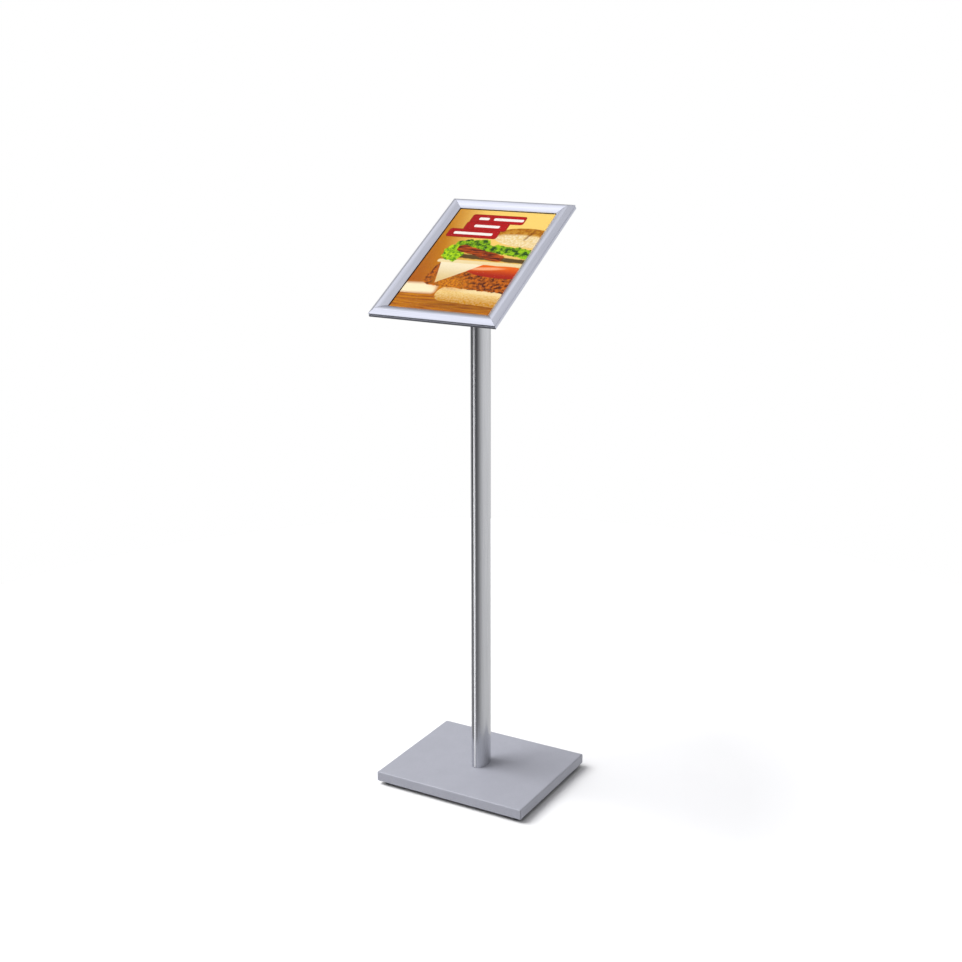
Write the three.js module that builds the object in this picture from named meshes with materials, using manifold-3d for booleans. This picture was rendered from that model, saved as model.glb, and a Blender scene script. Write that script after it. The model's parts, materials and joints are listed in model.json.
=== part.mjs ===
// A free-standing sign stand: a weighted base, an oval aluminium post and a tilted A4 snap frame
// that turns between portrait and landscape. Millimetres, +Z up, and the sign faces -Y. The sign
// reaches further forward than the base, and the origin is on the floor under the middle of the
// whole outline, a little in front of the post.
import * as THREE from "three";
import { mergeVertices } from "three/addons/utils/BufferGeometryUtils.js";
import Module from "manifold-3d";

const wasm = await Module();
wasm.setup();

// ---------------------------------------------------------------- driving dimensions

const contact = 0.1; // gap left between faces that touch
const fit = 0.15; // gap at the side of a piece that fits in a pocket or a hole
const cutOver = 5; // how far a cutting body runs past what it cuts

const base = {
  width: 300,
  depth: 250,
  height: 18, // of the folded cover, from its rim to its top
  sheet: 1.5,
  bend: 2.5, // outer radius of the folds
  seam: 0.55, // half of the open corner seam
};
const ballast = { thickness: 8, clearance: 1 };
const foot = { topRadius: 10, bottomRadius: 8.5, edge: 1.2, stand: 8, inset: 16, recess: 6 };
const footScrew = { shank: 2.5, head: 4.6, headHeight: 3, socket: 1.7, bite: 6 };

const post = {
  length: 912,
  halfWidth: 15, // of the oval, across X
  halfDepth: 23, // to the flat front and back faces, along Y
  cutOff: 2, // height of the oval's ends that the flat faces cut away
  wall: 2,
  grooveWidth: 4,
  grooveDepth: 6,
  grooveWall: 1.6,
  portRadius: 2.8, // bore of the two screw ports that run the length of the post
  portWall: 1.6,
};
const infill = { crown: 0.6, trim: 1 }; // strip in each groove: its bulge and its gap at the ends
const postBolt = { shank: 2.65, head: 5, headHeight: 5, socket: 2.5, bite: 24, washer: 8, washerThick: 1.6 };

const head = {
  tilt: THREE.MathUtils.degToRad(30), // of the frame from horizontal
  forward: 17.4, // pivot in front of the post's axis
  shoulder: 14, // height of the casting's front edge above the post
  flangeRadius: 34,
  flangeThick: 5,
  spigot: 45,
  fixingDrop: 20, // side screws below the post's top
};
const sideScrew = { shank: 2.4, head: 4.5, headHeight: 2.6, socket: 1.5, bite: 8 };
const pivot = { shank: 4, head: 7.5, headHeight: 2.9, socket: 2.5, bite: 18 };
const glide = { radius: 30, thickness: 1.5 }; // nylon ring the frame turns on
const discSpring = { radius: 9, thickness: 0.8 };

const plate = { width: 150, height: 120, thickness: 2, corner: 10, dishRadius: 38, screwInset: 14 };
const plateScrew = { shank: 2, head: 3.8, coneHeight: 2 };

const sheetSize = { width: 210, height: 297 }; // the poster, its backing and its cover
const panel = { thickness: 3 };
const poster = { thickness: 0.3 };
const cover = { thickness: 0.5 };

const profile = {
  width: 25, // from the frame's outer edge to the visible poster
  web: 1.2,
  shelf: 24, // reach of the web under the panel
  ribOuter: 13.2,
  ribInner: 14.4,
  ribHeight: 3.8,
  skin: 1.2, // wall of the snap profile
  lipRise: 0.75, // height of the snap profile's outer edge above the bead
  ridgeInward: 9,
  ridge: 12, // height of the snap profile's crest
  innerEdge: 6.3,
  mitreGap: 0.15,
};
const hinge = {
  inward: 2,
  up: 4.9,
  bead: 1.45,
  claw: 1, // wall of the claw round the bead
  clearance: 0.15,
  clawFrom: -55, // degrees round the bead, from the inward direction
  clawTo: 128,
  neckInner: 285,
  neckOuter: 222,
  cutBack: 6, // claw stops this far from the frame's corners
};
const key = { thickness: 1.5, leg: 42, from: 4.8, to: 12.4 };
const spring = { length: 36, thickness: 0.6, from: 5.4, to: 11.8, rise: 5.4, fromCorner: 80 };

const roundSegments = 32;
const smallSegments = 20;
const ovalSegments = 48; // for each side of the post
const profileSegments = 16; // for each curve of a rail or a snap profile

// ---------------------------------------------------------------- worked-out places

const frameWidth = sheetSize.width + 2 * (profile.ribInner + 0.6);
const frameHeight = sheetSize.height + 2 * (profile.ribInner + 0.6);

const rimZ = foot.stand;
const coverTopZ = rimZ + base.height;
const ballastTopZ = coverTopZ - base.sheet - contact;
const ballastZ = ballastTopZ - ballast.thickness;
const footHeight = ballastZ - contact;
const postZ = coverTopZ + contact;
const postTopZ = postZ + post.length;

const ovalHalfDepth = post.halfDepth + post.cutOff;
const portOuter = post.portRadius + post.portWall;
const portY = post.halfDepth - post.grooveDepth - post.grooveWall - post.portRadius;

const castingZ = postTopZ + contact;
const castingFrontY = -post.halfDepth;
const pivotZ =
  castingZ + head.shoulder - (head.forward + castingFrontY) * Math.tan(head.tilt)
  + head.flangeThick / 2 / Math.cos(head.tilt);

const lipUp = hinge.up + hinge.bead + profile.lipRise; // outer edge of the snap profile

// Heights along the frame's normal, from the flange's face at the pivot.
const glideUp = contact;
const dishUp = glideUp + glide.thickness + contact;
const discSpringUp = dishUp + plate.thickness + contact;
const pivotHeadUp = discSpringUp + discSpring.thickness + contact;
const panelUp = pivotHeadUp + pivot.headHeight + 2 * contact;
const plateUp = panelUp - contact - plate.thickness;
const frameUp = panelUp - profile.web - contact; // the rails' back face
const posterUp = panelUp + panel.thickness + contact;
const coverUp = posterUp + poster.thickness + contact;

// The outline's middle: from the lower snap profile's lip to the base or the frame's upper edge.
const frameReachY = (Math.cos(head.tilt) * frameHeight) / 2;
const outlineFrontY = -head.forward - frameReachY - Math.sin(head.tilt) * (frameUp + lipUp);
const frameBackY = -head.forward + frameReachY - Math.sin(head.tilt) * frameUp;
const outlineY = (outlineFrontY + Math.max(base.depth / 2, frameBackY)) / 2;

// ---------------------------------------------------------------- materials

function finish(colour, roughness, metalness) {
  return new THREE.MeshStandardMaterial({ color: colour, roughness, metalness });
}

const materials = {
  paintedSteel: finish(0xb4b5bf, 0.55, 0.2),
  bareSteel: finish(0x8b8d90, 0.5, 0.9),
  zincSteel: finish(0xb9bcc0, 0.35, 0.9),
  anodisedAluminium: finish(0xc4c6cc, 0.35, 0.9),
  castAluminium: finish(0xa9abb2, 0.5, 0.6),
  rubber: finish(0x141414, 0.9, 0),
  nylon: finish(0xe6e4dc, 0.6, 0),
  palePlastic: finish(0xe4e5e8, 0.4, 0),
  blackPanel: finish(0x2a2a2c, 0.7, 0),
  springSteel: finish(0x77797d, 0.4, 0.9),
  paper: finish(0xd98f3a, 0.6, 0),
  clearSheet: Object.assign(finish(0xffffff, 0.25, 0), { transparent: true, opacity: 0.25 }),
};

// ---------------------------------------------------------------- geometry helpers

const rad = THREE.MathUtils.degToRad;

// A closed geometry as a manifold-3d solid, turned right side out.
function solid(geometry) {
  const bare = new THREE.BufferGeometry();
  const flat = geometry.index ? geometry.toNonIndexed() : geometry;
  bare.setAttribute("position", flat.getAttribute("position"));
  const merged = mergeVertices(bare, 1e-4);
  const triangles = new Uint32Array(merged.index.array);
  const points = merged.attributes.position.array;
  if (signedVolume(points, triangles) < 0) {
    for (let i = 0; i < triangles.length; i += 3) {
      [triangles[i + 1], triangles[i + 2]] = [triangles[i + 2], triangles[i + 1]];
    }
  }
  return new wasm.Manifold(new wasm.Mesh({ numProp: 3, vertProperties: points, triVerts: triangles }));
}

function signedVolume(points, triangles) {
  const [a, b, c] = [new THREE.Vector3(), new THREE.Vector3(), new THREE.Vector3()];
  let sum = 0;
  for (let i = 0; i < triangles.length; i += 3) {
    a.fromArray(points, 3 * triangles[i]);
    b.fromArray(points, 3 * triangles[i + 1]);
    c.fromArray(points, 3 * triangles[i + 2]);
    sum += a.dot(b.cross(c)) / 6;
  }
  return sum;
}

// A manifold-3d solid as a three.js geometry.
function geometryOf(made) {
  const mesh = made.getMesh();
  const points = new Float32Array(mesh.numVert * 3);
  for (let i = 0; i < mesh.numVert; i++) {
    points.set(mesh.vertProperties.subarray(i * mesh.numProp, i * mesh.numProp + 3), i * 3);
  }
  const geometry = new THREE.BufferGeometry();
  geometry.setAttribute("position", new THREE.BufferAttribute(points, 3));
  geometry.setIndex(new THREE.BufferAttribute(mesh.triVerts, 1));
  const flat = geometry.toNonIndexed();
  flat.computeVertexNormals();
  return flat;
}

// A box between two corners.
function block(x0, y0, z0, x1, y1, z1) {
  const box = new THREE.BoxGeometry(x1 - x0, y1 - y0, z1 - z0);
  return box.translate((x0 + x1) / 2, (y0 + y1) / 2, (z0 + z1) / 2);
}

// An upright round bar from z0 to z1.
function bar(radius, z0, z1, segments = smallSegments) {
  const round = new THREE.CylinderGeometry(radius, radius, z1 - z0, segments);
  return round.rotateX(Math.PI / 2).translate(0, 0, (z0 + z1) / 2);
}

// A shape in X and Y, raised from z0 to z1.
function raised(shape, z0, z1, curveSegments = ovalSegments) {
  const options = { depth: z1 - z0, bevelEnabled: false, curveSegments };
  return new THREE.ExtrudeGeometry(shape, options).translate(0, 0, z0);
}

// A closed profile of [radius, z] points, turned round Z.
function turned(points, segments = roundSegments) {
  const profilePoints = points.map(([r, z]) => new THREE.Vector2(r, z));
  return new THREE.LatheGeometry(profilePoints, segments).rotateX(Math.PI / 2);
}

// A flat ring from z0 to z1.
function ring(inner, outer, z0, z1, segments = roundSegments) {
  return turned([[inner, z0], [outer, z0], [outer, z1], [inner, z1], [inner, z0]], segments);
}

function roundedRectangle(width, height, corner) {
  const [x, y] = [width / 2, height / 2];
  const shape = new THREE.Shape();
  shape.moveTo(x - corner, -y);
  shape.absarc(x - corner, -y + corner, corner, rad(-90), 0, false);
  shape.absarc(x - corner, y - corner, corner, 0, rad(90), false);
  shape.absarc(-x + corner, y - corner, corner, rad(90), rad(180), false);
  shape.absarc(-x + corner, -y + corner, corner, rad(180), rad(270), false);
  return shape;
}

// A profile of a frame side, drawn as inward and up, run along X. At each end it is sawn square
// `cutBack` from the frame's corner, or to a mitre that leaves `gap` to its neighbour.
function sideBar(shape, length, { gap = 0, cutBack = null } = {}) {
  const options = { depth: 1, bevelEnabled: false, curveSegments: profileSegments };
  const geometry = new THREE.ExtrudeGeometry(shape, options);
  const p = geometry.attributes.position;
  for (let i = 0; i < p.count; i++) {
    const [inward, up] = [p.getX(i), p.getY(i)];
    const end = cutBack === null ? inward + gap : cutBack;
    p.setXYZ(i, (2 * p.getZ(i) - 1) * (length / 2 - end), inward, up);
  }
  return geometry;
}

// A screw along Z with its head's underside at z = 0, the head above it and the shank below.
function socketScrew(screw, length) {
  const body = solid(turned([
    [0, -length], [screw.shank - 0.4, -length], [screw.shank, -length + 0.6], [screw.shank, 0],
    [screw.head, 0], [screw.head, screw.headHeight - 0.5], [screw.head - 0.5, screw.headHeight],
    [0, screw.headHeight],
  ], smallSegments));
  const hexagon = new THREE.CylinderGeometry(screw.socket, screw.socket, screw.headHeight, 6);
  const socket = hexagon.rotateX(Math.PI / 2).translate(0, 0, screw.headHeight * 0.95);
  return geometryOf(body.subtract(solid(socket)));
}

const root = new THREE.Group();

function add(parent, name, geometry, material) {
  const mesh = new THREE.Mesh(geometryOf(solid(geometry)), material);
  mesh.name = name;
  parent.add(mesh);
  return mesh;
}

// ---------------------------------------------------------------- base

// One folded side of the cover: its rim hangs down from a round bend.
function foldSection() {
  const inner = base.bend - base.sheet;
  const shape = new THREE.Shape();
  shape.moveTo(0, 0);
  shape.lineTo(base.sheet, 0);
  shape.lineTo(base.sheet, base.height - base.bend);
  shape.absarc(base.bend, base.height - base.bend, inner, rad(180), rad(90), true);
  shape.lineTo(base.bend + base.sheet, base.height - base.sheet);
  shape.lineTo(base.bend + base.sheet, base.height);
  shape.lineTo(base.bend, base.height);
  shape.absarc(base.bend, base.height - base.bend, base.bend, rad(90), rad(180), false);
  return shape;
}

function baseCover() {
  const [x, y] = [base.width / 2 - base.bend, base.depth / 2 - base.bend];
  let made = solid(block(-x, -y, coverTopZ - base.sheet, x, y, coverTopZ));
  for (let quarter = 0; quarter < 4; quarter++) {
    const [length, across] = quarter % 2 ? [base.depth, base.width] : [base.width, base.depth];
    const fold = sideBar(foldSection(), length, { gap: base.seam });
    fold.translate(0, -across / 2, rimZ).rotateZ(quarter * Math.PI / 2);
    made = made.add(solid(fold));
  }
  for (const y0 of [-portY, portY]) {
    const hole = bar(postBolt.shank + fit, ballastZ, coverTopZ + cutOver).translate(0, y0, 0);
    made = made.subtract(solid(hole));
  }
  return geometryOf(made);
}

const footPlaces = [
  ["front_left", -1, -1],
  ["front_right", 1, -1],
  ["back_left", -1, 1],
  ["back_right", 1, 1],
].map(([name, sx, sy]) => ({
  name,
  x: sx * (base.width / 2 - foot.inset),
  y: sy * (base.depth / 2 - foot.inset),
}));

function ballastPlate() {
  const inset = base.sheet + ballast.clearance;
  const [x, y] = [base.width / 2 - inset, base.depth / 2 - inset];
  let made = solid(block(-x, -y, ballastZ, x, y, ballastTopZ));
  for (const y0 of [-portY, portY]) {
    const hole = bar(postBolt.shank + fit, ballastZ - cutOver, coverTopZ).translate(0, y0, 0);
    made = made.subtract(solid(hole));
  }
  for (const place of footPlaces) {
    const hole = bar(footScrew.shank + fit, ballastZ - cutOver, coverTopZ).translate(place.x, place.y, 0);
    made = made.subtract(solid(hole));
  }
  return geometryOf(made);
}

function rubberFoot() {
  const hole = footScrew.shank + fit;
  const recess = footScrew.head + 2 * fit;
  return turned([
    [hole, foot.recess], [hole, footHeight], [foot.topRadius, footHeight],
    [foot.bottomRadius, foot.edge], [foot.bottomRadius - foot.edge, 0], [recess, 0],
    [recess, foot.recess], [hole, foot.recess],
  ]);
}

function addBase() {
  add(root, "base_cover", baseCover(), materials.paintedSteel);
  add(root, "ballast_plate", ballastPlate(), materials.bareSteel);
  for (const place of footPlaces) {
    const rubber = add(root, `foot_${place.name}`, rubberFoot(), materials.rubber);
    rubber.position.set(place.x, place.y, 0);
    const length = footHeight - foot.recess + footScrew.bite;
    const screw = add(root, `foot_screw_${place.name}`, socketScrew(footScrew, length), materials.zincSteel);
    screw.rotation.x = Math.PI;
    screw.position.set(place.x, place.y, foot.recess - contact);
  }
  for (const [name, y] of [["front", -portY], ["back", portY]]) {
    const washerZ = ballastZ - contact - postBolt.washerThick;
    const disc = ring(postBolt.shank + fit, postBolt.washer, 0, postBolt.washerThick);
    const washer = add(root, `post_washer_${name}`, disc, materials.zincSteel);
    washer.position.set(0, y, washerZ);
    const length = postZ - washerZ + postBolt.bite;
    const bolt = add(root, `post_bolt_${name}`, socketScrew(postBolt, length), materials.zincSteel);
    bolt.rotation.x = Math.PI;
    bolt.position.set(0, y, washerZ - contact);
  }
}

// ---------------------------------------------------------------- post

// The post's oval with its ends cut flat. `shrink` offsets it inwards.
function ovalShape(shrink, grooves) {
  const [a, b] = [post.halfWidth - shrink, ovalHalfDepth - shrink];
  const flatY = post.halfDepth - shrink;
  const turn = Math.asin(flatY / b);
  const [g, floorY] = [post.grooveWidth / 2, flatY - post.grooveDepth];
  const shape = new THREE.Shape();
  shape.moveTo(a * Math.cos(turn), -flatY);
  shape.absellipse(0, 0, a, b, -turn, turn, false);
  if (grooves) {
    shape.lineTo(g, flatY);
    shape.lineTo(g, floorY);
    shape.lineTo(-g, floorY);
    shape.lineTo(-g, flatY);
  }
  shape.lineTo(-a * Math.cos(turn), flatY);
  shape.absellipse(0, 0, a, b, Math.PI - turn, Math.PI + turn, false);
  if (grooves) {
    shape.lineTo(-g, -flatY);
    shape.lineTo(-g, -floorY);
    shape.lineTo(g, -floorY);
    shape.lineTo(g, -flatY);
  }
  return shape;
}

function postExtrusion() {
  const [low, high] = [postZ - cutOver, postTopZ + cutOver];
  let chamber = solid(raised(ovalShape(post.wall, false), low, high));
  let bores = null;
  for (const side of [-1, 1]) {
    const x = post.grooveWidth / 2 + post.grooveWall;
    const floorY = post.halfDepth - post.grooveDepth - post.grooveWall;
    const channel = block(-x, floorY, low, x, post.halfDepth, high).rotateZ(side < 0 ? Math.PI : 0);
    chamber = chamber.subtract(solid(channel));
    chamber = chamber.subtract(solid(bar(portOuter, low, high).translate(0, side * portY, 0)));
    const bore = solid(bar(post.portRadius, low, high).translate(0, side * portY, 0));
    bores = bores ? bores.add(bore) : bore;
  }
  const shell = solid(raised(ovalShape(0, true), postZ, postTopZ));
  return geometryOf(shell.subtract(chamber).subtract(bores).subtract(sideScrewHoles(post.halfWidth + cutOver)));
}

// A filler strip that fills the front groove, with a face that bulges a little.
function infillStrip() {
  const [x, floorY] = [post.grooveWidth / 2 - fit, post.halfDepth - post.grooveDepth + contact];
  const shape = new THREE.Shape();
  shape.moveTo(x, -floorY);
  shape.lineTo(-x, -floorY);
  shape.lineTo(-x, -post.halfDepth);
  shape.quadraticCurveTo(0, -post.halfDepth - 2 * infill.crown, x, -post.halfDepth);
  return raised(shape, postZ + infill.trim, postTopZ - infill.trim, smallSegments);
}

// Both side screws' holes, from the spigot's middle out to +-reach.
function sideScrewHoles(reach) {
  const hole = bar(sideScrew.shank + fit, -reach, reach).rotateY(Math.PI / 2);
  return solid(hole.translate(0, 0, postTopZ - head.fixingDrop));
}

// ---------------------------------------------------------------- head

// Places a group so that its Z is the frame's normal and its origin is the pivot.
function tiltedGroup() {
  const group = new THREE.Group();
  group.position.set(0, -head.forward, pivotZ);
  group.rotation.x = head.tilt;
  return group;
}

function toTilted(geometry) {
  return geometry.rotateX(head.tilt).translate(0, -head.forward, pivotZ);
}

function headCasting() {
  const spigotY = portY - portOuter - 2 * fit;
  const chamberA = post.halfWidth - post.wall;
  const chamberB = ovalHalfDepth - post.wall;
  const spigotX = chamberA * Math.sqrt(1 - (spigotY / chamberB) ** 2) - 2 * fit;
  const reach = 2 * head.flangeRadius;
  const spigot = block(-spigotX, -spigotY, postTopZ - head.spigot, spigotX, spigotY, castingZ + contact);
  const above = toTilted(block(-reach, -reach, -head.flangeThick / 2, reach, reach, reach));
  const column = solid(raised(ovalShape(0, false), castingZ, pivotZ + head.flangeRadius)).subtract(solid(above));
  const flange = toTilted(bar(head.flangeRadius, -head.flangeThick, 0, 2 * roundSegments));
  const thread = toTilted(bar(pivot.shank + fit, -pivot.bite - fit, cutOver));
  const joined = column.add(solid(flange)).add(solid(spigot));
  return geometryOf(joined.subtract(solid(thread)).subtract(sideScrewHoles(post.halfWidth)));
}

function addHead() {
  add(root, "post", postExtrusion(), materials.anodisedAluminium);
  add(root, "post_strip_front", infillStrip(), materials.palePlastic);
  add(root, "post_strip_back", infillStrip().rotateZ(Math.PI), materials.palePlastic);
  add(root, "head_casting", headCasting(), materials.castAluminium);
  for (const [name, side] of [["left", -1], ["right", 1]]) {
    const length = post.wall + sideScrew.bite;
    const screw = add(root, `head_screw_${name}`, socketScrew(sideScrew, length), materials.zincSteel);
    screw.rotation.y = side * Math.PI / 2;
    screw.position.set(side * (post.halfWidth + contact), 0, postTopZ - head.fixingDrop);
  }
  const pivotParts = tiltedGroup();
  root.add(pivotParts);
  const hole = pivot.shank + fit;
  add(pivotParts, "glide_ring", ring(hole, glide.radius, glideUp, glideUp + glide.thickness), materials.nylon);
  const springRing = ring(hole, discSpring.radius, discSpringUp, discSpringUp + discSpring.thickness);
  add(pivotParts, "disc_spring", springRing, materials.springSteel);
  const bolt = socketScrew(pivot, pivotHeadUp + pivot.bite);
  add(pivotParts, "pivot_bolt", bolt, materials.zincSteel).position.z = pivotHeadUp;
}

// ---------------------------------------------------------------- snap frame

const plateScrewPlaces = [[-1, -1], [1, -1], [1, 1], [-1, 1]].map(([sx, sy]) => [
  sx * (plate.width / 2 - plate.screwInset),
  sy * (plate.height / 2 - plate.screwInset),
]);

// The pressed plate: flat against the panel, with a dish that reaches down to the glide ring.
function mountingPlate() {
  const inner = plate.dishRadius - plate.thickness;
  const outline = roundedRectangle(plate.width, plate.height, plate.corner);
  const flat = solid(raised(outline, plateUp, plateUp + plate.thickness, smallSegments));
  const dishTop = plateUp + plate.thickness;
  const dish = solid(bar(plate.dishRadius, dishUp, dishTop, 2 * roundSegments));
  const hollow = solid(bar(inner, dishUp + plate.thickness, dishTop + cutOver, 2 * roundSegments));
  let made = flat.add(dish).subtract(hollow);
  made = made.subtract(solid(bar(pivot.shank + fit, dishUp - cutOver, dishTop + cutOver)));
  for (const [x, y] of plateScrewPlaces) {
    const hole = bar(plateScrew.shank + fit, plateUp - cutOver, dishTop + cutOver).translate(x, y, 0);
    made = made.subtract(solid(hole));
  }
  return geometryOf(made);
}

// A countersunk screw, or the hole for it when `grow` is the clearance round it. Its head is flush
// with z = 0 and its shank points down.
function countersunk(grow, length) {
  const [head_, shank, cone] = [plateScrew.head + grow, plateScrew.shank + grow, plateScrew.coneHeight];
  const top = grow ? cutOver : 0;
  const points = [[0, -length], [shank, -length], [shank, -cone - grow], [head_, -grow], [head_, top], [0, top]];
  if (!grow) points.splice(3, 2, [head_, 0]);
  return turned(points, smallSegments);
}

function sheet(z0, z1) {
  const [x, y] = [sheetSize.width / 2, sheetSize.height / 2];
  return block(-x, -y, z0, x, y, z1);
}

function backPanel() {
  const top = panelUp + panel.thickness;
  let made = solid(sheet(panelUp, top));
  for (const [x, y] of plateScrewPlaces) {
    made = made.subtract(solid(countersunk(fit, panel.thickness + cutOver).translate(x, y, top)));
  }
  return geometryOf(made);
}

// The back rail: a web with a rib that stops the panel, and a bead on a neck that the snap
// profile turns on.
function railSection() {
  const outerTurn = rad(hinge.neckOuter);
  const outerFace = hinge.bead * 0.1;
  const neckDrop = (hinge.inward - outerFace) * Math.tan(outerTurn);
  const shape = new THREE.Shape();
  shape.moveTo(outerFace, 0);
  shape.lineTo(profile.shelf, 0);
  shape.lineTo(profile.shelf, profile.web);
  shape.lineTo(profile.ribInner, profile.web);
  shape.lineTo(profile.ribInner, profile.ribHeight);
  shape.lineTo(profile.ribOuter, profile.ribHeight);
  shape.lineTo(profile.ribOuter, profile.web);
  shape.lineTo(hinge.inward + 0.9, profile.web);
  shape.lineTo(hinge.inward + 0.55, hinge.up - hinge.bead - hinge.claw);
  shape.absarc(hinge.inward, hinge.up, hinge.bead, rad(hinge.neckInner), outerTurn + 2 * Math.PI, false);
  shape.lineTo(outerFace, hinge.up - neckDrop);
  return shape;
}

// The arch of the snap profile: an outer bevel up to the ridge and a curve down to the poster.
function archSection() {
  const bevel = new THREE.Vector2(profile.ridgeInward - 1.4, profile.ridge - 0.5);
  const slope = Math.atan2(bevel.y - lipUp, bevel.x);
  const inX = profile.skin * Math.sin(slope);
  const inY = -profile.skin * Math.cos(slope);
  const lipUnder = coverUp + cover.thickness - frameUp + 2 * contact;
  const edge = profile.width;
  const shape = new THREE.Shape();
  shape.moveTo(0, lipUp);
  shape.lineTo(inX, lipUp + inY);
  shape.lineTo(bevel.x + inX, bevel.y + inY);
  shape.quadraticCurveTo(17, profile.ridge - profile.skin - 0.1, edge - 1.1, profile.innerEdge - 0.1);
  shape.lineTo(edge - 1, lipUnder);
  shape.lineTo(edge, lipUnder);
  shape.lineTo(edge, profile.innerEdge);
  shape.quadraticCurveTo(17.5, profile.ridge + 0.2, profile.ridgeInward, profile.ridge);
  shape.quadraticCurveTo(profile.ridgeInward - 0.8, profile.ridge, bevel.x, bevel.y);
  return shape;
}

// The claw under the arch, which grips the rail's bead.
function clawSection() {
  const inner = hinge.bead + hinge.clearance;
  const outer = inner + hinge.claw;
  const shape = new THREE.Shape();
  shape.absarc(hinge.inward, hinge.up, inner, rad(hinge.clawTo), rad(hinge.clawFrom), true);
  shape.absarc(hinge.inward, hinge.up, outer, rad(hinge.clawFrom), rad(hinge.clawTo), false);
  return shape;
}

// One leaf spring, arched along X between its two feet in the rail.
function leafSpring() {
  const [half, low] = [spring.length / 2, profile.web + contact];
  const shape = new THREE.Shape();
  shape.moveTo(-half, low);
  shape.quadraticCurveTo(0, low + 2 * spring.rise, half, low);
  shape.lineTo(half - spring.thickness, low);
  shape.quadraticCurveTo(0, low + 2 * (spring.rise - spring.thickness), -half + spring.thickness, low);
  const strip = raised(shape, spring.from, spring.to, 12);
  return strip.rotateX(Math.PI / 2).scale(1, -1, 1);
}

// A flat corner key, drawn from the frame's lower left corner.
function cornerKey() {
  const shape = new THREE.Shape();
  shape.moveTo(key.from, key.from);
  shape.lineTo(key.leg, key.from);
  shape.lineTo(key.leg, key.to);
  shape.lineTo(key.to, key.to);
  shape.lineTo(key.to, key.leg);
  shape.lineTo(key.from, key.leg);
  const low = profile.web + contact;
  return raised(shape, low, low + key.thickness);
}

// The four sides, each turned a quarter further: its X runs along the side and its Y points in.
const sides = [
  { name: "bottom", quarter: 0, length: frameWidth, across: frameHeight, springs: [0] },
  { name: "right", quarter: 1, length: frameHeight, across: frameWidth, springs: [-1, 1] },
  { name: "top", quarter: 2, length: frameWidth, across: frameHeight, springs: [0] },
  { name: "left", quarter: 3, length: frameHeight, across: frameWidth, springs: [-1, 1] },
];
const corners = [
  { name: "bottom_left", quarter: 0, x: -frameWidth / 2, y: -frameHeight / 2 },
  { name: "bottom_right", quarter: 1, x: frameWidth / 2, y: -frameHeight / 2 },
  { name: "top_right", quarter: 2, x: frameWidth / 2, y: frameHeight / 2 },
  { name: "top_left", quarter: 3, x: -frameWidth / 2, y: frameHeight / 2 },
];

function addSide(parent, side) {
  const group = new THREE.Group();
  group.rotation.z = side.quarter * Math.PI / 2;
  parent.add(group);
  const place = (mesh) => mesh.position.set(mesh.position.x, -side.across / 2, frameUp);
  const rail = sideBar(railSection(), side.length, { gap: contact / 2 });
  place(add(group, `rail_${side.name}`, rail, materials.anodisedAluminium));
  const arch = solid(sideBar(archSection(), side.length, { gap: profile.mitreGap }));
  const claw = solid(sideBar(clawSection(), side.length, { cutBack: hinge.cutBack }));
  place(add(group, `snap_${side.name}`, geometryOf(arch.add(claw)), materials.anodisedAluminium));
  side.springs.forEach((where, i) => {
    const suffix = side.springs.length > 1 ? `_${i + 1}` : "";
    const mesh = add(group, `spring_${side.name}${suffix}`, leafSpring(), materials.springSteel);
    mesh.position.x = where * (side.length / 2 - spring.fromCorner);
    place(mesh);
  });
}

function addFrame() {
  const frame = tiltedGroup();
  root.add(frame);
  add(frame, "mounting_plate", mountingPlate(), materials.zincSteel);
  add(frame, "back_panel", backPanel(), materials.blackPanel);
  plateScrewPlaces.forEach(([x, y], i) => {
    const screw = countersunk(0, panel.thickness + plate.thickness + contact);
    const mesh = add(frame, `plate_screw_${i + 1}`, screw, materials.zincSteel);
    mesh.position.set(x, y, panelUp + panel.thickness);
  });
  add(frame, "poster", sheet(posterUp, posterUp + poster.thickness), materials.paper);
  add(frame, "cover_sheet", sheet(coverUp, coverUp + cover.thickness), materials.clearSheet);
  for (const side of sides) addSide(frame, side);
  for (const corner of corners) {
    const mesh = add(frame, `corner_key_${corner.name}`, cornerKey(), materials.springSteel);
    mesh.position.set(corner.x, corner.y, frameUp);
    mesh.rotation.z = corner.quarter * Math.PI / 2;
  }
}

addBase();
addHead();
addFrame();
root.position.y = -outlineY;

export default root;
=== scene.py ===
"""A free-standing sign stand: powder-coated base, oval aluminium post and a tilted A4 snap frame."""

import json
import math

import bmesh
import bpy
from mathutils import Matrix, Vector

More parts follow.
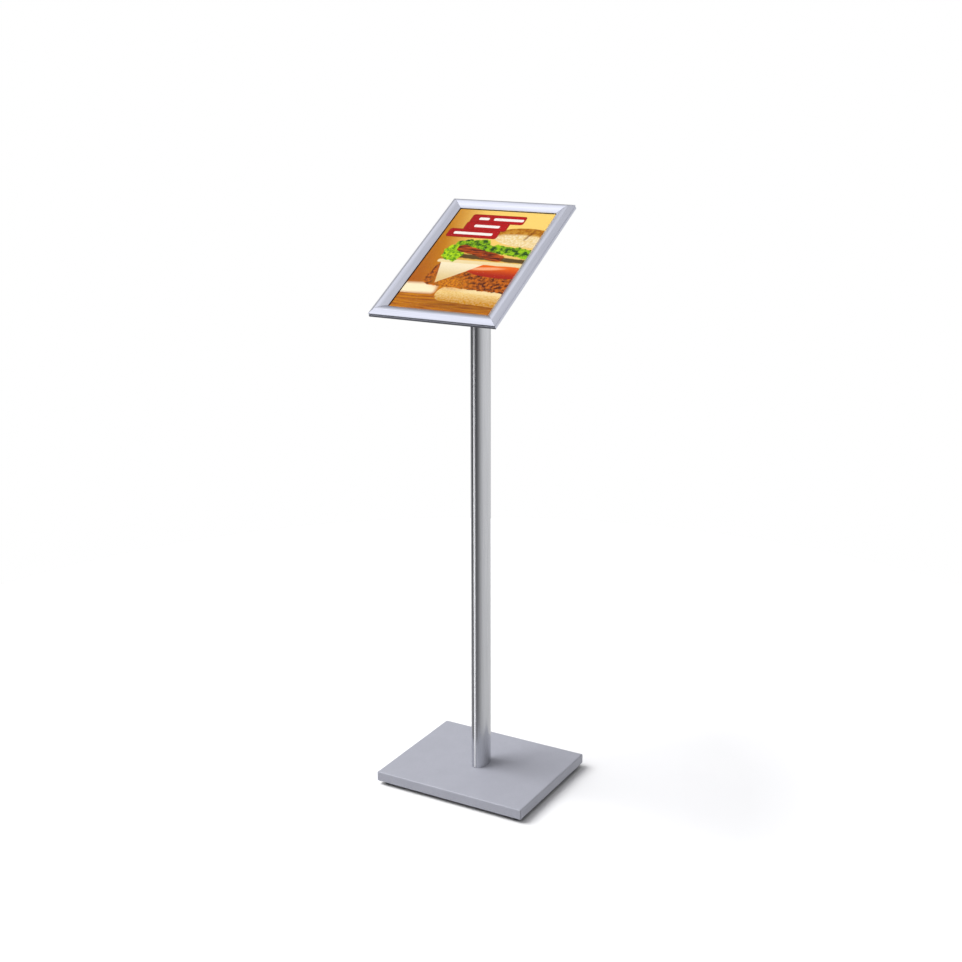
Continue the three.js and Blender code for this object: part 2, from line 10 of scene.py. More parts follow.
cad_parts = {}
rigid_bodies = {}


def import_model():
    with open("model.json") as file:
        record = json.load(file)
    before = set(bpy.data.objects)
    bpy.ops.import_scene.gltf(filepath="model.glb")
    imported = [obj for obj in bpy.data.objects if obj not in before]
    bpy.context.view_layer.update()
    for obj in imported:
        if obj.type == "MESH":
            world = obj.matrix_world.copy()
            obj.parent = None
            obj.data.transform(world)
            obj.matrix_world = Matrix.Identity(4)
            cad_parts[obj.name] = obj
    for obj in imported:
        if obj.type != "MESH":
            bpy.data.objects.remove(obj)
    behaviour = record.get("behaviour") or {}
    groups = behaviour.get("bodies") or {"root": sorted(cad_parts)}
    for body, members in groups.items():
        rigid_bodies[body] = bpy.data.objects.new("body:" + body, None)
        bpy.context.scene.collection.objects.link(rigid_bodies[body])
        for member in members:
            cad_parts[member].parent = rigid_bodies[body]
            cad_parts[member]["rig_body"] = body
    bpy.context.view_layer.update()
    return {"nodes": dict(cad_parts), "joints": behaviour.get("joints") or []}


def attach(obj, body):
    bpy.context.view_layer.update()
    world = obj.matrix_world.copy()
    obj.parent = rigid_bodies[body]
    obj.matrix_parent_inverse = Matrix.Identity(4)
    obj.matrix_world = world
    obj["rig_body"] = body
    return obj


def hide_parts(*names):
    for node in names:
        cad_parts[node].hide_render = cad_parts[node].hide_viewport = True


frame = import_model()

MM = 0.001

# ---------------------------------------------------------------- where the sign is

turn_joint = next(j for j in frame["joints"] if j["name"] == "frame_turn")
PIVOT = Vector(turn_joint["pos_m"])
SIGN_NORMAL = Vector(turn_joint["axis"]).normalized()
TILT = math.atan2(-SIGN_NORMAL.y, SIGN_NORMAL.z)
SIGN_SPACE = Matrix.Translation(PIVOT) @ Matrix.Rotation(TILT, 4, "X")

# ---------------------------------------------------------------- materials


def colour(hex_value):
    """An sRGB hex colour as the linear one that a shader takes."""

    def linear(channel):
        share = channel / 255
        return share / 12.92 if share <= 0.04045 else ((share + 0.055) / 1.055) ** 2.4

    return tuple(linear(int(hex_value[i : i + 2], 16)) for i in (1, 3, 5)) + (1.0,)


def node(tree, kind, settings=None, **inputs):
    """Adds a node. Each input is a value or another node's output, by name or as _ and its number."""
    made = tree.nodes.new(kind)
    for key, value in (settings or {}).items():
        setattr(made, key, value)
    for key, value in inputs.items():
        socket = made.inputs[int(key[1:])] if key[0] == "_" else made.inputs[key.replace("_", " ")]
        if isinstance(value, bpy.types.NodeSocket):
            tree.links.new(value, socket)
        else:
            socket.default_value = value
    return made


# Settings that many nodes share.
SMOOTH = {"interpolation_type": "SMOOTHSTEP"}
TINT = {"data_type": "RGBA"}
TIMES = {"operation": "MULTIPLY"}
LESS = {"operation": "SUBTRACT"}
LENGTH = {"operation": "LENGTH"}
DOT = {"operation": "DOT_PRODUCT"}


class Finish:
    """A material being made: its Principled shader, and the ways that a maker's hand varies it."""

    def __init__(self, name, **principled):
        self.material = bpy.data.materials.new(name)
        self.material.use_nodes = True
        self.tree = self.material.node_tree
        self.tree.nodes.clear()
        self.shader = node(self.tree, "ShaderNodeBsdfPrincipled", None, **principled)
        output = node(self.tree, "ShaderNodeOutputMaterial")
        self.tree.links.new(self.shader.outputs[0], output.inputs[0])
        self.place = node(self.tree, "ShaderNodeTexCoord").outputs["Object"]

    def give(self, name, value):
        self.tree.links.new(value, self.shader.inputs[name])

    def drawn_out(self, turn, along, across_mm, along_mm):
        """The place turned about X, in patterns that are long along one axis and fine across it."""
        turned = node(self.tree, "ShaderNodeMapping", None, Vector=self.place, Rotation=(turn, 0, 0))
        repeats = [1 / ((along_mm if axis == along else across_mm) * MM) for axis in range(3)]
        return node(
            self.tree, "ShaderNodeVectorMath", TIMES, _0=turned.outputs[0], _1=repeats
        ).outputs[0]

    def patches(self, size_mm, low, high, start=0.0, end=1.0, at=None, detail=3.0):
        """Soft patches of that size: start where the noise is under low, end where it is over high."""
        noise = node(
            self.tree, "ShaderNodeTexNoise", None,
            Vector=at or self.place, Scale=1.0 if at else 1 / (size_mm * MM), Detail=detail, Roughness=0.6,
        )
        return node(
            self.tree, "ShaderNodeMapRange", SMOOTH,
            Value=noise.outputs[0], From_Min=low, From_Max=high, To_Min=start, To_Max=end,
        ).outputs[0]

    def crystals(self, size_mm, dark, light):
        """Small flat facets of that size, each its own tint between dark and light."""
        cells = node(self.tree, "ShaderNodeTexVoronoi", None, Vector=self.place, Scale=1 / (size_mm * MM))
        share = node(self.tree, "ShaderNodeSeparateColor", None, Color=cells.outputs["Color"]).outputs[0]
        return node(
            self.tree, "ShaderNodeMix", TINT, _0=share, _6=colour(dark), _7=colour(light)
        ).outputs[2]

    def mottled(self, size_mm, dark, light, low=0.3, high=0.7, at=None, detail=3.0):
        """A colour that goes between two tints in soft patches."""
        amount = self.patches(size_mm, low, high, at=at, detail=detail)
        return node(
            self.tree, "ShaderNodeMix", TINT, _0=amount, _6=colour(dark), _7=colour(light)
        ).outputs[2]

    def textured(self, size_mm, depth_mm, strength, at=None, detail=3.0):
        """Presses a fine texture of that size and depth into the surface."""
        height = self.patches(size_mm, 0.2, 0.8, at=at, detail=detail)
        bump = node(
            self.tree, "ShaderNodeBump", None, Height=height, Distance=depth_mm * MM, Strength=strength
        )
        self.give("Normal", bump.outputs[0])


def silver_powder_coat():
    """Silver polyester powder coat on steel: an even satin grey with a fine orange peel and flake."""
    coat = Finish("silver_powder_coat", Metallic=0.2, IOR=1.5, Specular_IOR_Level=0.4)
    # The peel is 1.6 mm from bump to bump; the flake is really 0.05 mm and is drawn as 0.45 mm to show.
    flake = coat.crystals(0.45, "#A5A7B1", "#B9BAC4")
    handled = coat.patches(60, 0.3, 0.7, 0.0, 0.4, detail=2.0)
    tint = node(
        coat.tree, "ShaderNodeMix", TINT, _0=handled, _6=flake, _7=colour("#A7A8B2")
    ).outputs[2]
    coat.give("Base Color", tint)
    coat.give("Roughness", coat.patches(60, 0.3, 0.7, 0.42, 0.5, detail=2.0))
    coat.textured(1.6, 0.02, 0.5, detail=2.0)
    return coat.material


def anodised_aluminium(name, turn, along, dark, light, roughness):
    """Satin silver anodised extrusion: fine lines along its length, and a soft even metal gloss."""
    metal = Finish(name, Metallic=1.0)
    # Real die lines are 0.05 mm apart; these are 0.5 mm, so that they show.
    lines = metal.drawn_out(turn, along, 0.5, 90)
    bands = metal.drawn_out(turn, along, 4, 400)
    metal.give("Base Color", metal.mottled(0.5, dark, light, at=lines, detail=2.0))
    sheen = metal.patches(4, 0.3, 0.7, roughness - 0.04, roughness + 0.05, at=bands, detail=2.0)
    metal.give("Roughness", sheen)
    metal.textured(0.5, 0.01, 0.3, at=lines, detail=2.0)
    return metal.material


def painted_casting():
    """Painted aluminium casting: satin grey with the soft pitting of a die casting."""
    paint = Finish("painted_aluminium_casting", Metallic=0.35, IOR=1.5)
    paint.give("Base Color", paint.mottled(18, "#9B9DA5", "#AEB0B8"))
    paint.give("Roughness", paint.patches(1.1, 0.3, 0.7, 0.42, 0.58))
    paint.textured(1.1, 0.06, 0.6, detail=4.0)
    return paint.material


def plated_steel(name, dark, light, roughness, spangle_mm):
    """Zinc or oiled steel: a cool metal with small crystal patches and fine scuffs."""
    steel = Finish(name, Metallic=1.0)
    steel.give("Base Color", steel.crystals(spangle_mm, dark, light))
    steel.give("Roughness", steel.patches(0.7, 0.25, 0.75, roughness - 0.06, roughness + 0.1))
    steel.textured(0.7, 0.01, 0.4)
    return steel.material


def primed_steel():
    """Black primer on a cut steel plate: dull, dusty and slightly grainy."""
    primer = Finish("black_primed_steel", Metallic=0.0, IOR=1.5)
    primer.give("Base Color", primer.mottled(25, "#1B1B1D", "#37373A", 0.4, 0.8, detail=5.0))
    primer.give("Roughness", primer.patches(0.8, 0.3, 0.7, 0.6, 0.8))
    primer.textured(0.8, 0.03, 0.5)
    return primer.material


def moulded_rubber():
    """Moulded black rubber: nearly black, dull, with a fine spark-eroded texture and a little bloom."""
    rubber = Finish("moulded_black_rubber", Metallic=0.0, IOR=1.52, Specular_IOR_Level=0.3)
    rubber.give("Base Color", rubber.mottled(6, "#090909", "#1A1A1C", 0.35, 0.8))
    rubber.give("Roughness", rubber.patches(0.5, 0.3, 0.7, 0.7, 0.9, detail=4.0))
    rubber.textured(0.5, 0.04, 0.6, detail=4.0)
    return rubber.material


def natural_nylon():
    """Natural nylon: milky, slightly waxy, with light let into its skin."""
    nylon = Finish("natural_nylon", Metallic=0.0, IOR=1.53, Subsurface_Weight=0.15, Subsurface_Scale=1.0)
    nylon.shader.inputs["Subsurface Radius"].default_value = (1.0 * MM, 0.9 * MM, 0.7 * MM)
    nylon.give("Base Color", nylon.mottled(5, "#DCD9CE", "#ECEAE2"))
    nylon.give("Roughness", nylon.patches(5, 0.3, 0.7, 0.38, 0.5))
    return nylon.material


def pale_filler_strip():
    """Extruded pale grey PVC strip: smoother and lighter than the metal beside it, with a soft gloss."""
    strip = Finish("pale_pvc_strip", Metallic=0.0, IOR=1.53)
    lines = strip.drawn_out(0.0, 2, 0.8, 120)
    strip.give("Base Color", strip.mottled(0.8, "#E6E7EA", "#F6F6F8", at=lines))
    strip.give("Roughness", strip.patches(8, 0.3, 0.7, 0.28, 0.38))
    strip.textured(0.8, 0.01, 0.3, at=lines)
    return strip.material


def backing_sheet():
    """Black polystyrene backing sheet: a fine haircell texture under a low sheen."""
    sheet = Finish("black_backing_sheet", Metallic=0.0, IOR=1.49)
    sheet.give("Base Color", sheet.mottled(40, "#1E1E20", "#2A2A2D", detail=4.0))
    sheet.give("Roughness", sheet.patches(1.1, 0.3, 0.7, 0.45, 0.6))
    sheet.textured(1.1, 0.04, 0.5, detail=4.0)
    return sheet.material


def clear_pvc():
    """Clear PVC cover sheet: almost unseen, with the faint haze and gloss of its polished face."""
    pvc = Finish("clear_pvc_sheet", Metallic=0.0, IOR=1.54, Alpha=0.006)
    pvc.give("Base Color", pvc.mottled(50, "#DFE4E6", "#E9ECEE"))
    pvc.give("Roughness", pvc.patches(35, 0.3, 0.7, 0.1, 0.2))
    return pvc.material


class Print(Finish):
    """Artwork on the sheet, built up from soft-edged shapes. Sizes are in millimetres from the
    middle of the sheet, with x to the right and y up it."""

    def __init__(self, name, **principled):
        super().__init__(name, **principled)
        inverse = SIGN_SPACE.inverted()
        on_sheet = node(
            self.tree, "ShaderNodeMapping", None,
            Vector=self.place, Rotation=inverse.to_euler(), Location=inverse.to_translation(),
        )
        self.at = node(
            self.tree, "ShaderNodeVectorMath", TIMES,
            _0=on_sheet.outputs[0], _1=(1 / MM, 1 / MM, 0),
        ).outputs[0]
        self.ink = colour("#FFFFFF")

    def ragged(self, push, pattern):
        """The place on the sheet, pushed about so that a shape drawn at it has a ragged edge."""
        noise = node(self.tree, "ShaderNodeTexNoise", None, Vector=self.at, Scale=1 / pattern, Detail=3.0)
        start = node(self.tree, "ShaderNodeVectorMath", LESS, _0=self.at, _1=(push / 2, push / 2, 0))
        return node(
            self.tree, "ShaderNodeVectorMath", {"operation": "MULTIPLY_ADD"},
            _0=noise.outputs["Color"], _1=(push, push, 0), _2=start.outputs[0],
        ).outputs[0]

    def turned(self, at, x, y, angle):
        """The place measured from (x, y) along axes turned by angle."""
        moved = node(self.tree, "ShaderNodeVectorMath", LESS, _0=at, _1=(x, y, 0))
        return node(
            self.tree, "ShaderNodeVectorRotate", {"rotation_type": "Z_AXIS"},
            Vector=moved.outputs[0], Angle=-math.radians(angle),
        ).outputs[0]

    def cut(self, reach, edge, soft, within):
        """1 where reach is less than edge, kept inside another shape if there is one."""
        shape = node(
            self.tree, "ShaderNodeMapRange", SMOOTH,
            Value=reach, From_Min=edge - soft, From_Max=edge + soft, To_Min=1.0, To_Max=0.0,
        )
        if within is None:
            return shape.outputs[0]
        return node(self.tree, "ShaderNodeMath", TIMES, _0=shape.outputs[0], _1=within).outputs[0]

    def oval(self, x, y, across, up, angle=0.0, soft=0.03, at=None, within=None):
        """An oval, with a soft edge that is a share of its size."""
        local = self.turned(at or self.at, x, y, angle)
        unit = node(self.tree, "ShaderNodeVectorMath", {"operation": "DIVIDE"}, _0=local, _1=(across, up, 1))
        reach = node(self.tree, "ShaderNodeVectorMath", LENGTH, _0=unit.outputs[0])
        return self.cut(reach.outputs["Value"], 1, soft, within)

    def slab(self, x, y, across, up, corner, angle=0.0, soft=0.6, at=None, within=None):
        """A rectangle with rounded corners, with an edge soft millimetres wide."""
        local = self.turned(at or self.at, x, y, angle)
        folded = node(self.tree, "ShaderNodeVectorMath", {"operation": "ABSOLUTE"}, _0=local)
        past = node(
            self.tree, "ShaderNodeVectorMath", LESS,
            _0=folded.outputs[0], _1=(across / 2 - corner, up / 2 - corner, 0),
        )
        outside = node(
            self.tree, "ShaderNodeVectorMath", {"operation": "MAXIMUM"}, _0=past.outputs[0], _1=(0, 0, 0)
        )
        reach = node(self.tree, "ShaderNodeVectorMath", LENGTH, _0=outside.outputs[0])
        return self.cut(reach.outputs["Value"], corner, soft, within)

    def flap(self, corners, at):
        """A straight-sided shape, its corners given anticlockwise."""
        shape = None
        for (x0, y0), (x1, y1) in zip(corners, corners[1:] + corners[:1]):
            local = self.turned(at, x0, y0, math.degrees(math.atan2(y1 - y0, x1 - x0)))
            flipped = node(self.tree, "ShaderNodeVectorMath", TIMES, _0=local, _1=(-1, -1, -1))
            reach = node(self.tree, "ShaderNodeSeparateXYZ", None, Vector=flipped.outputs[0]).outputs[1]
            shape = self.cut(reach, 0, 0.7, shape)
        return shape

    def speckled(self, pattern, dark, light, low=0.38, high=0.62, stretch=None):
        """An ink that goes from dark to light in patches, which may be drawn out along x."""
        at = node(
            self.tree, "ShaderNodeVectorMath", TIMES,
            _0=self.at, _1=stretch or (1 / pattern, 1 / pattern, 0),
        ).outputs[0]
        return self.mottled(pattern, dark, light, low, high, at=at, detail=5.0)

    def faded(self, axis, low, high, start, end):
        """An ink that goes from one colour to another along x (0) or y (1)."""
        part = node(self.tree, "ShaderNodeSeparateXYZ", None, Vector=self.at).outputs[axis]
        share = node(self.tree, "ShaderNodeMapRange", SMOOTH, Value=part, From_Min=low, From_Max=high)
        return node(
            self.tree, "ShaderNodeMix", TINT,
            _0=share.outputs[0], _6=colour(start), _7=colour(end),
        ).outputs[2]

    def lay(self, shape, ink, strength=1.0):
        """Prints an ink over what is there, inside the shape."""
        cover = node(self.tree, "ShaderNodeMath", TIMES, _0=shape, _1=strength)
        self.ink = node(
            self.tree, "ShaderNodeMix", TINT, _0=cover.outputs[0], _6=self.ink, _7=ink
        ).outputs[2]


def backdrop(art):
    """An amber wall that glows towards the top right, a pale napkin and a wooden board."""
    art.ink = art.faded(1, -90, 150, "#B8620E", "#CE862E")
    art.lay(art.oval(66, 114, 170, 145, 0, 0.75), colour("#FBD888"))
    art.lay(art.oval(-112, 0, 62, 170, 0, 0.6), colour("#A04C04"), 0.65)
    art.lay(art.slab(-66, -84, 70, 26, 6, 3, 6.0), colour("#FDEECB"))
    board = art.slab(0, -141, 260, 78, 2, -2, 1.2, art.ragged(3.0, 22.0))
    art.lay(board, art.speckled(6, "#984C0A", "#CE8630", 0.3, 0.7, (0.019, 0.26, 0)))
    art.lay(art.oval(48, -118, 80, 11, 2, 0.5), colour("#552505"), 0.35)


def filling(art):
    """The bottom bun, a crisp patty, tomato and a sheet of cheese whose corner hangs down."""
    bun = art.slab(54, -97, 160, 38, 18, -3, 0.8, art.ragged(2.0, 9.0))
    art.lay(bun, art.faded(1, -116, -84, "#C08030", "#F6D898"))
    art.lay(bun, art.speckled(4, "#D09A4C", "#F8E2B2", 0.4, 0.6), 0.3)
    art.lay(art.oval(40, -81, 96, 7, -3, 0.4, within=bun), colour("#F8E3B4"), 0.7)
    rough = art.ragged(8.0, 5.5)
    crust = art.speckled(6.5, "#4A1703", "#CB6A1B", 0.37, 0.62)
    art.lay(art.oval(-50, -42, 13, 29, 8, 0.05, rough), crust)
    art.lay(art.slab(36, -58, 204, 42, 20, -3, 0.9, rough), crust)
    art.lay(art.oval(-14, -64, 34, 17, -10, 0.7), art.speckled(3.5, "#8E3A0C", "#EE9C36", 0.35, 0.6), 0.7)
    tomato = art.oval(58, -27, 64, 17, -3, 0.03, art.ragged(2.0, 18.0))
    art.lay(tomato, art.faded(1, -42, -10, "#A81C05", "#EE6E36"))
    art.lay(art.oval(34, -22, 34, 4, 6, 0.6, within=tomato), colour("#FFC29A"), 0.8)
    wavy = art.ragged(2.5, 26.0)
    art.lay(art.flap([(-59, -6), (-42, -68), (28, -9)], wavy), art.faded(1, -60, -8, "#E2CA98", "#F8EBCC"))
    art.lay(art.slab(30, -8, 192, 9, 4, 0, 0.9, art.ragged(3.0, 14.0)), colour("#F0DCAE"))


def greens(art):
    """Bacon under ragged lettuce, dark in its folds."""
    art.lay(art.slab(42, 5, 176, 11, 5, -2, 1.5, art.ragged(5.0, 12.0)), colour("#221004"), 0.9)
    frill = art.ragged(20.0, 14.0)
    leaf = art.speckled(9.0, "#1E4705", "#98C92E")
    art.lay(art.slab(32, 30, 176, 24, 12, -5, 1.0, frill), leaf)
    art.lay(art.oval(-20, 40, 30, 15, 6, 0.05, frill), leaf)
    art.lay(art.oval(-46, 15, 19, 24, 24, 0.05, frill), art.speckled(7.0, "#3F7D0C", "#B9DE49", 0.36, 0.62))
    bacon = art.slab(4, 18, 100, 19, 8, -15, 1.0, art.ragged(7.0, 10.0))
    art.lay(bacon, art.speckled(5, "#4E1304", "#C05A30", 0.38, 0.62, (0.03, 0.22, 0)))


def raised_bun(art):
    """The top bun, lifted off and pushed back: a brown crust over a pale crumb."""
    bun = art.oval(72, 67, 66, 26, -3, 0.025, art.ragged(2.0, 20.0))
    art.lay(bun, art.faded(1, 52, 92, "#E2B669", "#A8621C"))
    art.lay(bun, art.speckled(11, "#8F4C12", "#E9BE72", 0.42, 0.58), 0.35)
    art.lay(
        art.oval(68, 57, 62, 17, -3, 0.2, within=bun), art.speckled(5, "#EACB8E", "#FCF0CE", 0.3, 0.7), 0.9
    )
    art.lay(art.slab(72, 74, 4, 30, 2, -20, 2.0, art.ragged(6.0, 8.0), within=bun), colour("#7A3F10"), 0.7)


def banners(art):
    """Three blank red banners, each with plain bars where its words would be."""
    rows = (
        (-7, 113, 106, ((-44, 20), (-15, 58))),
        (-20, 92, 84, ((-44, 50),)),
        (-36, 70, 100, ((-74, 76),)),
    )
    for x, y, across, bars in rows:
        art.lay(art.slab(x, y, across, 24, 5, 0, 0.5), colour("#8C0608"))
        art.lay(art.slab(x, y, across - 2.5, 21.5, 4, 0, 0.4), art.faded(0, -80, 60, "#A50206", "#B8080A"))
        for start, length in bars:
            art.lay(art.slab(start + length / 2, y, length, 7, 2.5, 0, 0.4), colour("#F6F0EA"))


# The part of the sheet inside a painted shadow: outside it the sheet is painted dark, just inside the snap
# profiles, to stand for the shade under their lips.
SHEET_INSIDE_PAINTED_SHADOW = (187.4, 274.4)


def printed_poster():
    """Silk-coated paper with a four-colour print: warm and saturated, with a soft low gloss."""
    art = Print("printed_silk_paper", Metallic=0.0, IOR=1.5, Roughness=0.45, Specular_IOR_Level=0.03)
    backdrop(art)
    filling(art)
    greens(art)
    raised_bun(art)
    banners(art)
    # Painted shadow: the sheet outside that part is inked near black, for the shade under the snap profiles'
    # lips.
    inside = art.slab(0, 0, *SHEET_INSIDE_PAINTED_SHADOW, 0.5, 0, 0.3)
    edge = node(art.tree, "ShaderNodeMath", LESS, _0=1.0, _1=inside)
    art.lay(edge.outputs[0], colour("#17120E"))
    pressed = node(
        art.tree, "ShaderNodeHueSaturation", None, Hue=0.5, Saturation=1.12, Value=0.8, Color=art.ink
    )
    art.give("Base Color", pressed.outputs[0])
    art.textured(0.6, 0.01, 0.25)
    return art.material


finishes = {
    "powder": silver_powder_coat(),
    "primer": primed_steel(),
    "rubber": moulded_rubber(),
    "zinc": plated_steel("zinc_plated_screws", "#A9ADB4", "#C9CCD1", 0.3, 2.5),
    "galvanised": plated_steel("galvanised_sheet", "#8F9399", "#B5B8BD", 0.42, 9.0),
    "spring": plated_steel("oiled_spring_steel", "#54565A", "#6F7176", 0.35, 3.0),
    "post": anodised_aluminium("anodised_post", 0.0, 2, "#C8C9CC", "#D6D7DA", 0.23),
    "across": anodised_aluminium("anodised_profile_across", -TILT, 0, "#C6C9D6", "#D8DAE6", 0.32),
    "upright": anodised_aluminium("anodised_profile_upright", -TILT, 1, "#C6C9D6", "#D8DAE6", 0.32),
    "strip": pale_filler_strip(),
    "casting": painted_casting(),
    "nylon": natural_nylon(),
    "panel": backing_sheet(),
    "poster": printed_poster(),
    "cover": clear_pvc(),
}

# ---------------------------------------------------------------- pieces


CREASE = math.radians(28)  # an edge that turns more than this is a corner; less is part of a curve
FLAT = math.radians(0.4)  # faces within this of each other are one flat face
WELD = 0.002 * MM
EDGE_STEPS = 2  # facets across an eased edge


def finished(node_name, finish, edge_mm):
    """The finished piece for a node: its flat faces made whole, its edges eased and its curves smooth."""
    cad = frame["nodes"][node_name]
    mesh = cad.data.copy()
    mesh.name = node_name + "_finished"
    shape = bmesh.new()
    shape.from_mesh(mesh)
    bmesh.ops.remove_doubles(shape, verts=shape.verts, dist=WELD)
    bmesh.ops.dissolve_limit(shape, angle_limit=FLAT, verts=shape.verts, edges=shape.edges)
    if edge_mm:
        sharp = [
            edge for edge in shape.edges
            if len(edge.link_faces) == 2 and edge.calc_face_angle() > CREASE
        ]
        bmesh.ops.bevel(
            shape, geom=sharp, offset=edge_mm * MM, offset_type="OFFSET", segments=EDGE_STEPS,
            profile=0.5, affect="EDGES", clamp_overlap=True,
        )
    for face in shape.faces:
        face.smooth = True
    shape.to_mesh(mesh)
    shape.free()
    mesh.set_sharp_from_angle(angle=CREASE)
    mesh.materials.clear()
    mesh.materials.append(finishes[finish])
    piece = bpy.data.objects.new(node_name + "_finished", mesh)
    bpy.context.scene.collection.objects.link(piece)
    weighted = piece.modifiers.new("even_shading", "WEIGHTED_NORMAL")
    weighted.keep_sharp = True
    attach(piece, cad["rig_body"])
    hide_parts(node_name)
    return piece


# Start of a node's name: its finish and the width its edges are eased to, in millimetres.
treatments = {
    "base_cover": ("powder", 0.25),
    "ballast_plate": ("primer", 0.4),
    "foot_screw": ("zinc", 0.2),
    "foot": ("rubber", 0.5),
    "post_washer": ("zinc", 0.2),
    "post_bolt": ("zinc", 0.2),
    "post_strip": ("strip", 0.15),
    "post": ("post", 0.3),
    "head_casting": ("casting", 0.6),
    "head_screw": ("zinc", 0.2),
    "glide_ring": ("nylon", 0.2),
    "disc_spring": ("spring", 0.15),
    "pivot_bolt": ("zinc", 0.2),
    "mounting_plate": ("galvanised", 0.4),
    "plate_screw": ("zinc", 0.15),
    "back_panel": ("panel", 0.3),
    "poster": ("poster", 0.0),
    "cover_sheet": ("cover", 0.0),
    "corner_key": ("spring", 0.2),
    "spring": ("spring", 0.1),
    "rail_bottom": ("across", 0.12),
    "rail_top": ("across", 0.12),
    "rail_left": ("upright", 0.12),
    "rail_right": ("upright", 0.12),
    "snap_bottom": ("across", 0.15),
    "snap_top": ("across", 0.15),
    "snap_left": ("upright", 0.15),
    "snap_right": ("upright", 0.15),
}
for name in sorted(frame["nodes"]):
    start = max((key for key in treatments if name.startswith(key)), key=len)
    finish, edge = treatments[start]
    finished(name, finish, edge)

# ---------------------------------------------------------------- floor, lights and camera


def pale_floor():
    """A round white floor. Its gleam is left out of the metal, which mirrors the dim studio instead."""
    reach, corners = 1.6, 96
    turns = [k * math.tau / corners for k in range(corners)]
    shape = bpy.data.meshes.new("floor")
    rim = [(reach * math.cos(turn), reach * math.sin(turn), 0) for turn in turns]
    shape.from_pydata(rim, [], [tuple(range(corners))])
    floor = bpy.data.objects.new("floor", shape)
    floor.visible_glossy = False
    bpy.context.scene.collection.objects.link(floor)
    matt = Finish("white_floor", Roughness=0.6, Specular_IOR_Level=0.1)
    matt.give("Base Color", matt.mottled(700, "#F6F6F7", "#FAFAFA"))
    # It glows a little towards its rim, so that no line shows where the white behind it starts.
    out = node(matt.tree, "ShaderNodeVectorMath", LENGTH, _0=matt.place).outputs["Value"]
    glow = node(matt.tree, "ShaderNodeMapRange", None, Value=out, From_Min=0.5, From_Max=1.4, To_Max=0.5)
    matt.shader.inputs["Emission Color"].default_value = (1, 1, 1, 1)
    matt.give("Emission Strength", glow.outputs[0])
    shape.materials.append(matt.material)


KEY_AT = Vector((-3.7, -1.9, 5.6))
KEY_DIRECTION = (KEY_AT - PIVOT).normalized()


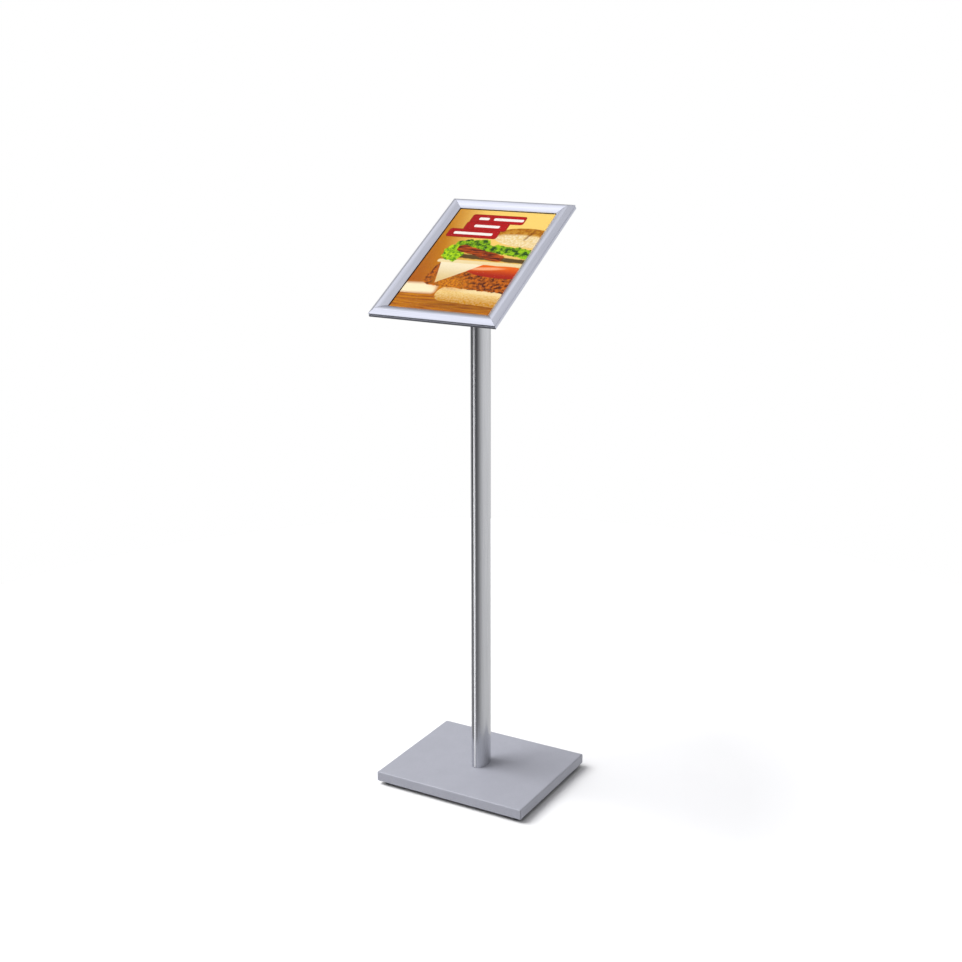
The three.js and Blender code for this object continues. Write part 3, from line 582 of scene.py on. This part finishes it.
def surround():
    """A light studio that is dark behind the viewer and under the floor, and white to look at."""
    world = bpy.data.worlds.new("surround")
    bpy.context.scene.world = world
    world.use_nodes = True
    tree = world.node_tree
    direction = node(tree, "ShaderNodeTexCoord").outputs["Generated"]
    height = node(tree, "ShaderNodeSeparateXYZ", None, Vector=direction).outputs[2]
    to_viewer = node(
        tree, "ShaderNodeVectorMath", DOT, _0=direction, _1=(0.087, -0.996, 0.0)
    ).outputs["Value"]
    # Soft boxes high up and behind, with a greyer wall between them and a grey ceiling.
    walls = node(tree, "ShaderNodeValToRGB", None, Fac=height).outputs[0]
    ramp = walls.node.color_ramp
    ramp.interpolation = "EASE"
    greys = ((0.0, 0.92), (0.14, 0.55), (0.44, 0.5), (0.72, 1.0), (1.0, 0.85))
    for _ in greys[2:]:
        ramp.elements.new(0.5)
    for stop, (at, grey) in zip(ramp.elements, greys):
        stop.position = at
        stop.color = (grey, grey, grey * 1.01, 1)
    front = node(tree, "ShaderNodeMapRange", SMOOTH, Value=to_viewer, From_Min=-0.45, From_Max=0.98)
    low = node(
        tree, "ShaderNodeMapRange", SMOOTH,
        Value=height, From_Min=0.1, From_Max=0.7, To_Min=1.0, To_Max=0.0,
    )
    dim = node(tree, "ShaderNodeMath", TIMES, _0=front.outputs[0], _1=low.outputs[0])
    light = node(
        tree, "ShaderNodeMix", TINT, _0=dim.outputs[0], _6=walls, _7=(0.035, 0.035, 0.04, 1)
    ).outputs[2]
    # Patches laid over the walls: which way each faces, where it starts, where it is full, how much of
    # it there is, and its grey.
    patches = (
        ((0, 0, -1), 0.1, 0.5, 0.45, 0.4),  # low down, all round
        ((0, 0, -1), 0.55, 0.8, 1.0, 0.08),  # under the floor
        ((0, 0.86, 0.51), 0.66, 0.9, 1.0, 0.36),  # high behind: mirrored by the top rail's outer edge
        (KEY_DIRECTION, 0.72, 0.99, 1.0, 1.5),  # where the key lamp is: mirrored by the bright rails
    )
    for way, start, full, most, grey in patches:
        facing = node(tree, "ShaderNodeVectorMath", DOT, _0=direction, _1=way).outputs["Value"]
        share = node(
            tree, "ShaderNodeMapRange", SMOOTH, Value=facing, From_Min=start, From_Max=full, To_Max=most
        ).outputs[0]
        light = node(
            tree, "ShaderNodeMix", TINT, _0=share, _6=light, _7=(grey, grey, grey * 1.02, 1)
        ).outputs[2]
    # Matt faces turned to the right and front get less light than the mirrors there show.
    path = node(tree, "ShaderNodeLightPath")
    to_right = node(
        tree, "ShaderNodeVectorMath", DOT, _0=direction, _1=(0.88, -0.47, 0.0)
    ).outputs["Value"]
    right = node(tree, "ShaderNodeMapRange", SMOOTH, Value=to_right, From_Min=-0.1, From_Max=0.85)
    shade = node(
        tree, "ShaderNodeMath", TIMES, _0=right.outputs[0], _1=path.outputs["Is Diffuse Ray"]
    )
    lit = node(tree, "ShaderNodeMix", TINT, _0=shade.outputs[0], _6=light, _7=(0.05, 0.05, 0.06, 1))
    shown = node(
        tree, "ShaderNodeMix", TINT,
        _0=path.outputs["Is Camera Ray"], _6=lit.outputs[2], _7=(1, 1, 1, 1),
    )
    tree.links.new(shown.outputs[2], tree.nodes["Background"].inputs["Color"])


def key_lamp():
    """A large square soft box up to the left, for matt faces: the surround has its mirror image."""
    light = bpy.data.lights.new("key", "AREA")
    light.energy = 430
    light.size = 4.5
    holder = bpy.data.objects.new("key", light)
    holder.location = KEY_AT
    holder.rotation_euler = (PIVOT - KEY_AT).to_track_quat("-Z", "Y").to_euler()
    holder.visible_glossy = False
    bpy.context.scene.collection.objects.link(holder)


def view():
    """The camera, standing to the right of the sign and a little above it."""
    camera_data = bpy.data.cameras.new("view")
    camera_data.sensor_width = 36.0
    camera_data.lens = 55.28
    camera = bpy.data.objects.new("view", camera_data)
    azimuth, down, roll = math.radians(29.57), math.radians(16.27), math.radians(-0.09)
    camera.matrix_world = (
        Matrix.Translation((1.237, -2.159, 1.306))
        @ Matrix.Rotation(azimuth, 4, "Z")
        @ Matrix.Rotation(math.pi / 2 - down, 4, "X")
        @ Matrix.Rotation(roll, 4, "Z")
    )
    bpy.context.scene.collection.objects.link(camera)
    bpy.context.scene.camera = camera


bpy.context.scene.view_settings.view_transform = "Standard"
pale_floor()
surround()
key_lamp()
view()
